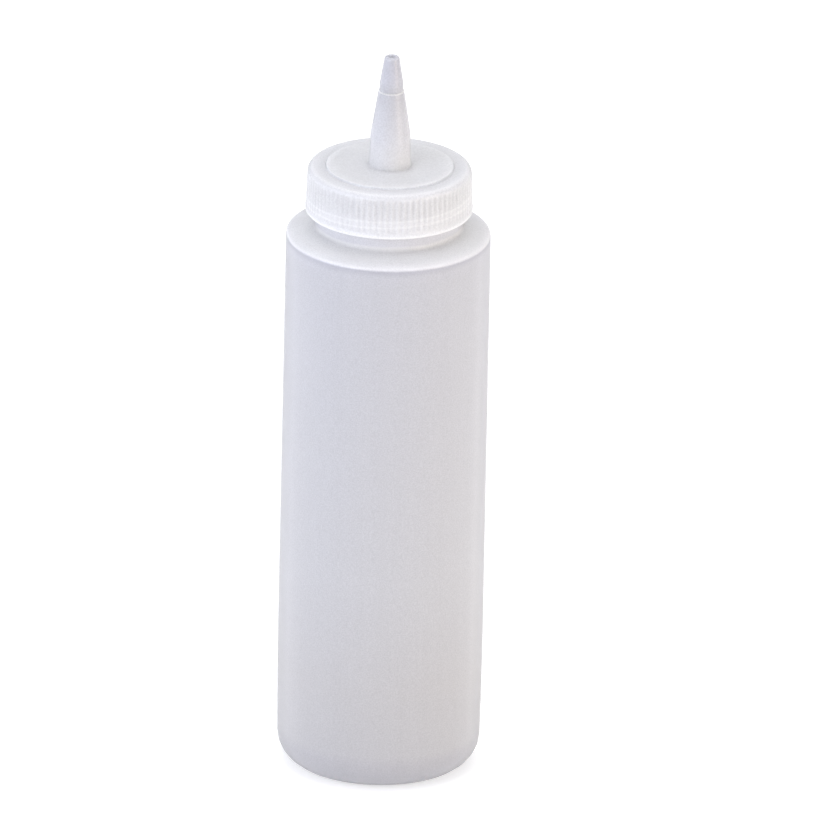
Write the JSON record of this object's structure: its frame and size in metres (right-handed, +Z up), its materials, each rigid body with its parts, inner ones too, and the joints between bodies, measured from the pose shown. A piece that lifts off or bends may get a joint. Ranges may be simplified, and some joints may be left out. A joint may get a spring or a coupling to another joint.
{
  "type": "glue applicator bottle",
  "caption": "Tall round translucent squeeze bottle with a low shoulder and a ribbed screw cap that rises into a long cone nozzle, for dispensing glue.",
  "frame": {"origin": "centre of the base, on the plane that the bottle stands on", "axes": "+Z up the bottle's axis and out of the nozzle; X and Y across the round body, which looks the same from every side"},
  "size_m": [0.05, 0.05, 0.1842],
  "materials": {
    "bottle_polyethylene": "natural low-density polyethylene, thin, milky and translucent, with a fine frosted grain",
    "cap_polyethylene": "natural low-density polyethylene, injection moulded, milky and translucent, satin",
    "washer_foam": "white closed-cell polyethylene foam, matt"
  },
  "bodies": {
    "bottle": {"bottle": "bottle_polyethylene"},
    "washer": {"seal_washer": "washer_foam"},
    "cap": {"nozzle_cap": "cap_polyethylene"}
  },
  "joints": [
    {"name": "cap_rise", "type": "slide", "parent": "bottle", "child": "washer", "axis": [0, 0, 1], "range_m": [0, 0.01272]},
    {"name": "cap_turn", "type": "hinge", "parent": "washer", "child": "cap", "pos_m": [0, 0, 0.1538], "axis": [0, 0, 1], "range_deg": [0, 1080]}
  ],
  "couplings": [
    {"joint": "cap_rise", "follows": "cap_turn", "m_per_rad": 0.00067376}
  ]
}
